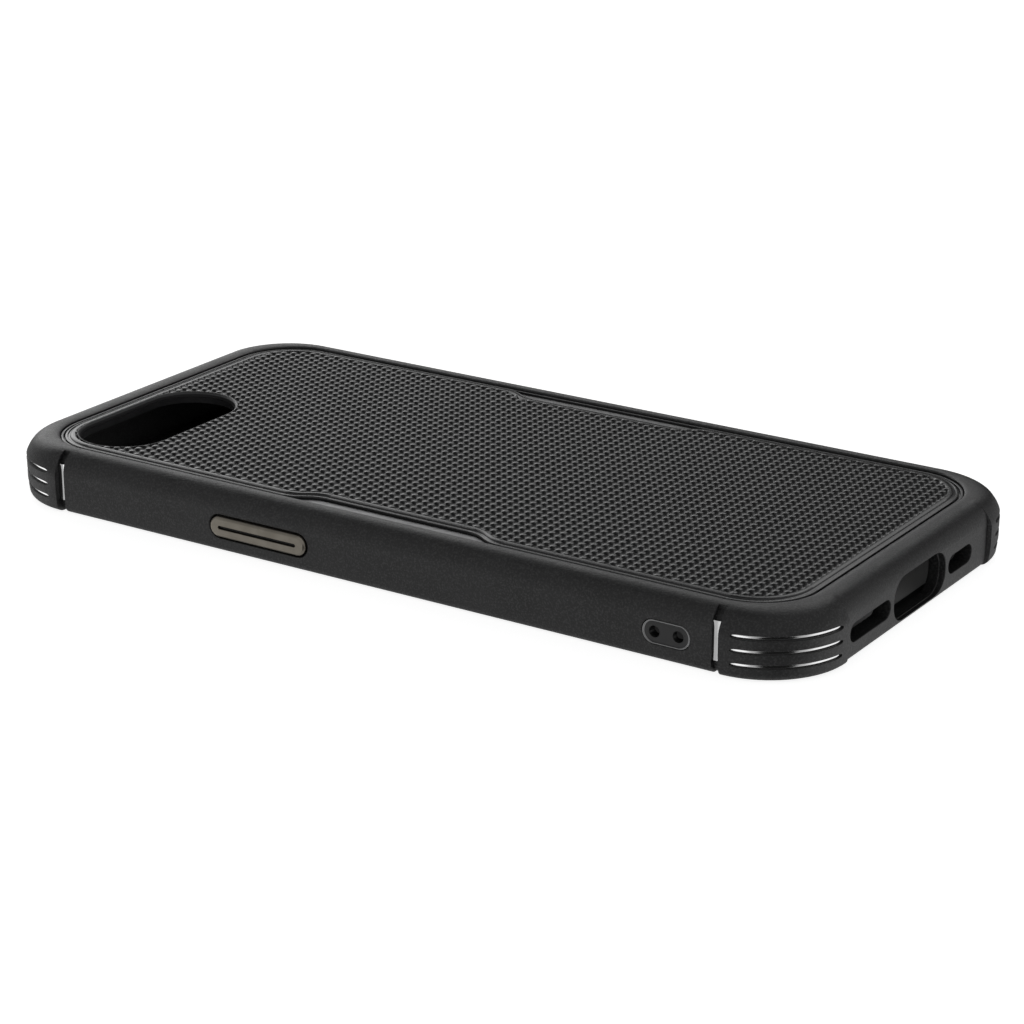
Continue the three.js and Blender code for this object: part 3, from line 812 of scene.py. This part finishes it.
def build_strips(finish):
    """Narrow strips that fill the notches, thinning out to nothing at both ends."""
    for side, node in ((-1, "grip_strip_left"), (1, "grip_strip_right")):
        low, high = node_box(node)
        outer = max(abs(low[0]), abs(high[0]))
        curve = notch_curve(plate_high[0] + RIM_GAP, NOTCH_DEPTH, steps=22)
        curve = curve[(curve[:, 1] > low[1]) & (curve[:, 1] < high[1])]
        curve = curve[curve[:, 0] < outer - 0.06]
        rings = []
        for x, y in curve:
            edge = min(0.12, (outer - x) / 3)
            section = [
                (x, low[2]),
                (x, high[2] - edge * 0.6),
                (x + edge * 0.35, high[2] - edge * 0.15),
                (x + edge, high[2]),
                (outer - edge, high[2]),
                (outer - edge * 0.35, high[2] - edge * 0.15),
                (outer, high[2] - edge * 0.6),
                (outer, low[2]),
            ]
            rings.append(np.array([[side * px, y, pz] for px, pz in section]))
        install(loft(node + "_bar", rings), node, finish)


# ------------------------------------------------------------------ buttons and strap anchor

def build_button(name, side, metal, rubber):
    """A chamfered cap with a slot, and the plunger whose ridge fills the slot from behind."""
    y, z, length, height = button_box(name)
    place = lambda outline, depth: side_points(side, y, z, outline, depth)
    shape = lambda inset: stadium(length - 2 * inset, height - 2 * inset, 18)
    face = PANEL_X + CAP_PROUD
    levels = [
        (0.06, CAP_BACK),
        (0.0, CAP_BACK + 0.06),
        (0.0, face - CAP_CHAMFER - 0.06),
        (0.03, face - CAP_CHAMFER),
        (CAP_CHAMFER - 0.05, face - 0.05),
        (CAP_CHAMFER + 0.02, face - 0.01),
        (CAP_CHAMFER + 0.1, face),
    ]
    cap = loft(f"{name}_cover", [place(shape(inset), depth) for inset, depth in levels])
    slot = lambda lip: stadium(length - 2 * CAP_SLOT_MARGIN + 2 * lip, CAP_SLOT_HEIGHT + 2 * lip, 12)
    boolean(cap, [loft("cap_slot_cut", flared(place, slot, CAP_BACK - PAST, face, CAP_SLOT_LIP))])
    install(cap, f"{name}_cap", metal)

    stem_shape = lambda inset: stadium(length - 2 * STEM_MARGIN - 2 * inset, STEM_HEIGHT - 2 * inset)
    start = CAVITY_X + SEAM
    stem_levels = [(0.15, start), (0.0, start + 0.15), (0.0, CAP_BACK - SEAM)]
    stem = loft(f"{name}_stem", [place(stem_shape(inset), depth) for inset, depth in stem_levels])
    ridge_length = length - 2 * CAP_SLOT_MARGIN - 2 * SEAM
    ridge_height = CAP_SLOT_HEIGHT - 2 * SEAM
    ridge_shape = lambda inset: stadium(ridge_length - 2 * inset, ridge_height - 2 * inset)
    top = face - RIDGE_RECESS
    ridge_levels = [(0.0, CAP_BACK - RIDGE_ROOT), (0.0, top - 0.08), (0.03, top - 0.02), (0.08, top)]
    ridge = loft("ridge", [place(ridge_shape(inset), depth) for inset, depth in ridge_levels])
    boolean(stem, [ridge], "UNION")
    install(stem, f"{name}_plunger", rubber)


# The strap anchor's edge, as [inset, sink]: a thin raised rim, a moat and the dished middle. A
# painted highlight, a pale colour on the rim, sets in between the two insets below.
STRAP_EDGE = (
    (0.0, 0.1),
    (0.02, 0.03),
    (0.05, 0.0),
    (0.12, 0.01),
    (0.16, 0.06),
    (0.2, 0.16),
    (0.42, 0.17),
    (0.52, 0.14),
    (0.8, STRAP_DISH),
)
STRAP_RIM_HIGHLIGHT = (0.18, 0.12)


def build_strap_anchor(finish):
    shape = lambda inset: stadium(STRAP_LENGTH - 2 * inset, STRAP_HEIGHT - 2 * inset, 20)
    face = PANEL_X + SEAM
    rings = [strap_place(shape(0.0), PANEL_X - STRAP_THICKNESS)]
    rings += [strap_place(shape(inset), face - sink) for inset, sink in STRAP_EDGE]
    slug = loft("strap_anchor_slug", rings)
    # A hair longer than round, so that no two of the outline's points meet.
    hole = lambda lip: stadium(2 * STRAP_HOLE + 2 * lip + 0.001, 2 * STRAP_HOLE + 2 * lip)
    holes = []
    for shift in (-STRAP_SPACING / 2, STRAP_SPACING / 2):
        spot = lambda outline, depth: strap_place(outline, depth, shift)
        rings = flared(spot, hole, PANEL_X - PAST, face - STRAP_DISH, STRAP_HOLE_LIP)
        holes.append(loft("hole_cut", rings))
    boolean(slug, holes)
    install(slug, "strap_anchor", finish)


# ------------------------------------------------------------------ finishes

def add_node(tree, kind, **settings):
    made = tree.nodes.new(kind)
    for key, value in settings.items():
        setattr(made, key, value)
    return made


class Finish:
    """A Principled material with a few short calls for its procedural parts."""

    def __init__(self, name, colour, roughness, metallic=0.0, ior=1.45):
        self.material = bpy.data.materials.new(name)
        self.material.use_nodes = True
        self.tree = self.material.node_tree
        self.shader = self.tree.nodes["Principled BSDF"]
        self.shader.inputs["Metallic"].default_value = metallic
        self.shader.inputs["IOR"].default_value = ior
        self.shader.inputs["Base Color"].default_value = (*colour, 1.0)
        self.shader.inputs["Roughness"].default_value = roughness
        self.place = self.tree.nodes.new("ShaderNodeTexCoord").outputs["Object"]
        self.normal = None

    def node(self, kind, **settings):
        return add_node(self.tree, kind, **settings)

    def link(self, source, target):
        self.tree.links.new(source, target)

    def stretched(self, scale, turn=0.0):
        """Object coordinates turned about Z and scaled, for brushed or flowing grain."""
        made = self.node("ShaderNodeMapping", vector_type="TEXTURE")
        made.inputs["Rotation"].default_value = (0.0, 0.0, math.radians(turn))
        made.inputs["Scale"].default_value = scale
        self.link(self.place, made.inputs["Vector"])
        return made.outputs["Vector"]

    def noise(self, size, detail=2.0, roughness=0.5, place=None, offset=0.0):
        """Noise whose features are about size millimetres across."""
        made = self.node("ShaderNodeTexNoise", noise_dimensions="4D")
        made.inputs["W"].default_value = offset
        made.inputs["Scale"].default_value = 1 / (size * MM)
        made.inputs["Detail"].default_value = detail
        made.inputs["Roughness"].default_value = roughness
        self.link(place or self.place, made.inputs["Vector"])
        return made.outputs["Fac"]

    def ramp(self, value, low, high, start=0.0, end=1.0):
        """A smooth step of the value, from start at low to end at high."""
        made = self.node("ShaderNodeMapRange", interpolation_type="SMOOTHSTEP")
        made.inputs["From Min"].default_value = low
        made.inputs["From Max"].default_value = high
        made.inputs["To Min"].default_value = start
        made.inputs["To Max"].default_value = end
        self.link(value, made.inputs["Value"])
        return made.outputs["Result"]

    def maths(self, operation, first, second):
        made = self.node("ShaderNodeMath", operation=operation)
        for value, socket in ((first, made.inputs[0]), (second, made.inputs[1])):
            if isinstance(value, float):
                socket.default_value = value
            else:
                self.link(value, socket)
        return made.outputs["Value"]

    def edges(self, low, high):
        """1 along convex edges, from the mesh's own curvature."""
        geometry = self.node("ShaderNodeNewGeometry")
        return self.ramp(geometry.outputs["Pointiness"], low, high)

    def mix(self, factor, first, second):
        made = self.node("ShaderNodeMix", data_type="RGBA")
        self.link(factor, made.inputs["Factor"])
        for value, socket in ((first, made.inputs[6]), (second, made.inputs[7])):
            if isinstance(value, tuple):
                socket.default_value = (*value, 1.0)
            else:
                self.link(value, socket)
        return made.outputs[2]

    def colour(self, value):
        self.link(value, self.shader.inputs["Base Color"])

    def roughness(self, value):
        self.link(value, self.shader.inputs["Roughness"])

    def bump(self, height, depth):
        """Adds a bump of depth millimetres on top of those before it."""
        made = self.node("ShaderNodeBump")
        made.inputs["Strength"].default_value = 1.0
        made.inputs["Distance"].default_value = depth * MM
        self.link(height, made.inputs["Height"])
        if self.normal:
            self.link(self.normal, made.inputs["Normal"])
        self.normal = made.outputs["Normal"]
        self.link(self.normal, self.shader.inputs["Normal"])


def soft_frame_finish():
    """Matte elastomer: fine paler grain, faint mottling and slightly polished edges."""
    f = Finish("soft_frame_elastomer", (0.012, 0.012, 0.0125), 0.5)
    mottle = f.noise(9.0, 3.0)
    base = f.mix(f.ramp(mottle, 0.3, 0.7), (0.005, 0.005, 0.0052), (0.009, 0.009, 0.0094))
    pale = f.ramp(f.noise(0.3, 2.0, offset=6.0), 0.45, 0.68)
    f.colour(f.mix(pale, base, (0.023, 0.023, 0.0235)))
    patches = f.ramp(f.noise(3.0, 2.0, offset=4.0), 0.35, 0.65, 0.3)
    rub = f.maths("MULTIPLY", f.edges(0.52, 0.62), patches)
    grain = f.noise(0.22, 3.0, 0.65)
    rough = f.maths("ADD", f.ramp(grain, 0.3, 0.7, 0.4, 0.54), f.ramp(mottle, 0.3, 0.7, -0.03, 0.03))
    f.roughness(f.maths("SUBTRACT", rough, f.maths("MULTIPLY", rub, 0.1)))
    f.bump(grain, 0.04)
    f.bump(f.noise(0.7, 2.0, offset=2.0), 0.035)
    return f.material


def hard_shell_finish():
    """Smooth hard plastic with faint flow marks."""
    f = Finish("hard_shell_polycarbonate", (0.014, 0.014, 0.015), 0.32, ior=1.55)
    flow = f.noise(6.0, 3.0, place=f.stretched((0.25, 1.0, 1.0)))
    f.colour(f.mix(flow, (0.011, 0.011, 0.012), (0.019, 0.019, 0.02)))
    f.roughness(f.ramp(flow, 0.3, 0.7, 0.27, 0.38))
    f.bump(f.noise(0.3, 2.0), 0.003)
    f.bump(flow, 0.01)
    return f.material


def plate_finish():
    """Satin plastic with a spark-eroded grain, smoother on its studs' edges, where a paler colour paints
    a highlight.
    """
    f = Finish("knurled_plate_satin", (0.009, 0.009, 0.0095), 0.38, ior=1.5)
    mottle = f.noise(12.0, 3.0, offset=7.0)
    stud_edge_sheen = f.edges(0.53, 0.6)
    base = f.mix(mottle, (0.007, 0.007, 0.0073), (0.011, 0.011, 0.0115))
    # Paler colour along the studs' convex edges: a painted highlight.
    f.colour(f.mix(stud_edge_sheen, base, (0.018, 0.018, 0.0185)))
    grain = f.noise(0.12, 2.0, 0.6)
    satin = f.ramp(grain, 0.3, 0.7, 0.24, 0.33)
    f.roughness(f.maths("SUBTRACT", satin, f.maths("MULTIPLY", stud_edge_sheen, 0.04)))
    f.bump(grain, 0.006)
    return f.material


def bezel_finish():
    """Satin plastic, a shade paler than the plate."""
    f = Finish("bezel_satin", (0.018, 0.018, 0.019), 0.4, ior=1.5)
    grain = f.noise(0.2, 2.0, 0.6)
    f.colour(f.mix(f.noise(4.0, 2.0), (0.015, 0.015, 0.016), (0.022, 0.022, 0.023)))
    f.roughness(f.ramp(grain, 0.3, 0.7, 0.34, 0.46))
    f.bump(grain, 0.004)
    return f.material


def strip_finish():
    """Brushed strip whose streaks run at a slant."""
    f = Finish("brushed_strip_metal", (0.2, 0.2, 0.2), 0.36, metallic=0.9)
    streaks = f.noise(0.12, 3.0, 0.6, place=f.stretched((0.06, 1.0, 1.0), 38.0))
    broad = f.noise(2.2, 2.0, place=f.stretched((0.2, 1.0, 1.0), 38.0), offset=3.0)
    value = f.maths("ADD", f.maths("MULTIPLY", streaks, 0.6), f.maths("MULTIPLY", broad, 0.4))
    f.colour(f.mix(f.ramp(value, 0.35, 0.65), (0.085, 0.085, 0.086), (0.19, 0.19, 0.192)))
    f.roughness(f.ramp(streaks, 0.3, 0.7, 0.28, 0.46))
    f.bump(streaks, 0.006)
    return f.material


def insert_finish():
    """Bright polished insert with hairline polishing marks."""
    f = Finish("gloss_insert_polished", (0.75, 0.75, 0.75), 0.14, metallic=1.0)
    haze = f.noise(1.6, 3.0)
    lines = f.noise(0.1, 2.0, place=f.stretched((1.0, 1.0, 0.05)))
    f.colour(f.mix(haze, (0.68, 0.68, 0.68), (0.82, 0.82, 0.822)))
    f.roughness(f.ramp(lines, 0.3, 0.7, 0.07, 0.15))
    f.bump(lines, 0.0015)
    return f.material


def button_finish():
    """Warm grey anodised metal, bead-blasted, with a painted highlight of paler colour along its edges.
    """
    f = Finish("button_anodised_metal", (0.26, 0.237, 0.2), 0.36, metallic=1.0)
    blast = f.noise(0.09, 2.0, 0.7)
    cloud = f.noise(2.5, 2.0, offset=5.0)
    base = f.mix(f.ramp(cloud, 0.3, 0.7), (0.24, 0.219, 0.184), (0.29, 0.266, 0.226))
    # Paler colour along the convex edges: a painted highlight.
    f.colour(f.mix(f.edges(0.53, 0.63), base, (0.4, 0.37, 0.32)))
    f.roughness(f.ramp(blast, 0.3, 0.7, 0.3, 0.45))
    f.bump(blast, 0.004)
    return f.material


def rubber_finish():
    """Matte black rubber."""
    f = Finish("button_rubber_black", (0.008, 0.008, 0.008), 0.62, ior=1.4)
    grain = f.noise(0.12, 2.0, 0.6)
    f.colour(f.mix(f.noise(2.0, 2.0), (0.006, 0.006, 0.006), (0.011, 0.011, 0.011)))
    f.roughness(f.ramp(grain, 0.3, 0.7, 0.55, 0.7))
    f.bump(grain, 0.006)
    return f.material


def anchor_finish():
    """Dark satin plastic whose outer rim carries a painted highlight, a thin pale line of colour."""
    f = Finish("strap_anchor_satin", (0.02, 0.02, 0.021), 0.34, ior=1.5)
    grain = f.noise(0.15, 2.0, 0.6)
    place = f.node("ShaderNodeSeparateXYZ")
    f.link(f.place, place.inputs[0])
    along = f.maths("SUBTRACT", place.outputs["Y"], float(STRAP_MIDDLE[1]) * MM)
    along = f.maths("SUBTRACT", f.maths("ABSOLUTE", along, 0.0), STRAP_SPACING / 2 * MM)
    along = f.maths("MAXIMUM", along, 0.0)
    across = f.maths("SUBTRACT", place.outputs["Z"], float(STRAP_MIDDLE[2]) * MM)
    reach = f.maths("ADD", f.maths("MULTIPLY", along, along), f.maths("MULTIPLY", across, across))
    inner, outer = (float(STRAP_HEIGHT) / 2 - inset for inset in STRAP_RIM_HIGHLIGHT)
    # A pale colour on the outer rim: a painted highlight.
    rim = f.ramp(f.maths("SQRT", reach, 0.0), inner * MM, outer * MM)
    f.colour(f.mix(rim, (0.012, 0.012, 0.0125), (0.2, 0.2, 0.202)))
    f.roughness(f.ramp(grain, 0.3, 0.7, 0.28, 0.42))
    f.bump(grain, 0.004)
    return f.material


# ------------------------------------------------------------------ stage, light and camera

# The floor: its rings as multiples of the patch under the case, then [grey, glow] of its two parts.
FLOOR_RINGS = (1.0, 1.5, 4.0, 60.0)
FLOOR_DROP = 0.02
FLOOR_LIT = (0.5, 0.85)
FLOOR_PLAIN = (0.3, 0.012)


def plain_material(name, grey, glow):
    material = bpy.data.materials.new(name)
    material.use_nodes = True
    shader = material.node_tree.nodes["Principled BSDF"]
    shader.inputs["Base Color"].default_value = (grey, grey, grey, 1.0)
    shader.inputs["Roughness"].default_value = 0.9
    shader.inputs["Specular IOR Level"].default_value = 0.2
    shader.inputs["Emission Color"].default_value = (1.0, 1.0, 1.0, 1.0)
    shader.inputs["Emission Strength"].default_value = glow
    return material


def build_floor():
    """A pale sheet lit from below, with a plain unlit patch under the case."""
    shade = rounded(CAVITY_X - LIP_OVERLAP, CAVITY_Y - LIP_OVERLAP, CAVITY_CORNER - LIP_OVERLAP)
    rings = [at_height(shade * scale, 0.0) for scale in FLOOR_RINGS]
    count = len(shade)
    floor = make_object("floor", np.vstack(rings), bands(count, len(rings)))
    floor.data.materials.append(plain_material("floor_lit", *FLOOR_LIT))
    patch = make_object("floor_patch", rings[0], [tuple(range(count))])
    patch.data.materials.append(plain_material("floor_plain", *FLOOR_PLAIN))
    floor.visible_glossy = False
    for part in (floor, patch):
        part.location.z = -FLOOR_DROP * MM


# The studio around the case: a lobe is degrees from +X towards +Y, degrees up, inner and outer
# spread in degrees, and the radiance it adds to the plain surround, or takes from it.
SURROUND = 0.5
DARKEST = 0.01
LOBES = {
    "key_panel": (16.0, 42.0, 4.0, 20.0, 1.9),
    "low_panel": (54.0, 24.0, 8.0, 22.0, 2.3),
    "far_end": (108.0, -20.0, 6.0, 20.0, 0.9),
    "left_end": (178.0, -20.0, 5.0, 16.0, 0.8),
    "right_end": (-62.0, -20.0, 14.0, 40.0, 0.7),
    "dark_back": (66.0, 60.0, 18.0, 34.0, -0.48),
    "dark_low": (8.0, 14.0, 12.0, 26.0, -0.45),
    "dark_right": (-14.0, 38.0, 8.0, 22.0, -0.4),
    "dark_horizon": (35.0, -20.0, 14.0, 30.0, -0.45),
    "dark_card": (-135.0, -20.0, 18.0, 28.0, -0.5),
}


def build_light():
    """Soft panels and dark cards all round, drawn by direction in the world."""
    world = bpy.data.worlds.new("studio")
    bpy.context.scene.world = world
    world.use_nodes = True
    tree = world.node_tree
    node = lambda kind, **settings: add_node(tree, kind, **settings)
    toward = node("ShaderNodeTexCoord").outputs["Generated"]
    total = None
    for azimuth, elevation, inner, outer, radiance in LOBES.values():
        dot = node("ShaderNodeVectorMath", operation="DOT_PRODUCT")
        tree.links.new(toward, dot.inputs[0])
        dot.inputs[1].default_value = direction(azimuth, elevation)
        lobe = node("ShaderNodeMapRange", interpolation_type="SMOOTHSTEP")
        lobe.inputs["From Min"].default_value = math.cos(math.radians(outer))
        lobe.inputs["From Max"].default_value = math.cos(math.radians(inner))
        lobe.inputs["To Max"].default_value = radiance
        tree.links.new(dot.outputs["Value"], lobe.inputs["Value"])
        added = node("ShaderNodeMath", operation="ADD")
        tree.links.new(lobe.outputs["Result"], added.inputs[0])
        if total:
            tree.links.new(total, added.inputs[1])
        else:
            added.inputs[1].default_value = SURROUND
        total = added.outputs["Value"]
    least = node("ShaderNodeMath", operation="MAXIMUM")
    tree.links.new(total, least.inputs[0])
    least.inputs[1].default_value = DARKEST
    surround = tree.nodes["Background"]
    surround.inputs["Color"].default_value = (1.0, 1.0, 1.0, 1.0)
    tree.links.new(least.outputs["Value"], surround.inputs["Strength"])
    backdrop = node("ShaderNodeBackground")
    backdrop.inputs["Color"].default_value = (1.0, 1.0, 1.0, 1.0)
    path = node("ShaderNodeLightPath")
    choose = node("ShaderNodeMixShader")
    tree.links.new(path.outputs["Is Camera Ray"], choose.inputs["Fac"])
    tree.links.new(surround.outputs[0], choose.inputs[1])
    tree.links.new(backdrop.outputs[0], choose.inputs[2])
    tree.links.new(choose.outputs[0], tree.nodes["World Output"].inputs["Surface"])


def direction(azimuth, elevation):
    turn, rise = math.radians(azimuth), math.radians(elevation)
    return (math.cos(turn) * math.cos(rise), math.sin(turn) * math.cos(rise), math.sin(rise))


CAMERA_PLACE = (-377.10, -250.53, 166.74)
CAMERA_FORWARD = (0.78455, 0.51619, -0.34355)
CAMERA_LENS = 102.95


def build_camera():
    lens = bpy.data.cameras.new("camera")
    lens.sensor_width = 36.0
    lens.lens = CAMERA_LENS
    lens.clip_start = 0.01
    camera = bpy.data.objects.new("camera", lens)
    bpy.context.scene.collection.objects.link(camera)
    camera.location = Vector(CAMERA_PLACE) * MM
    camera.rotation_mode = "QUATERNION"
    camera.rotation_quaternion = Vector(CAMERA_FORWARD).to_track_quat("-Z", "Y")
    bpy.context.scene.camera = camera
    bpy.context.scene.view_settings.view_transform = "Standard"


# ------------------------------------------------------------------ scene

build_camera()
build_light()
build_floor()
build_bumper(soft_frame_finish())
build_inserts(insert_finish())
build_shell(hard_shell_finish())
build_plate(plate_finish())
build_bezel(bezel_finish())
build_strips(strip_finish())
build_strap_anchor(anchor_finish())
button_metal = button_finish()
button_rubber = rubber_finish()
for button, wall_side in BUTTONS.items():
    build_button(button, wall_side, button_metal, button_rubber)
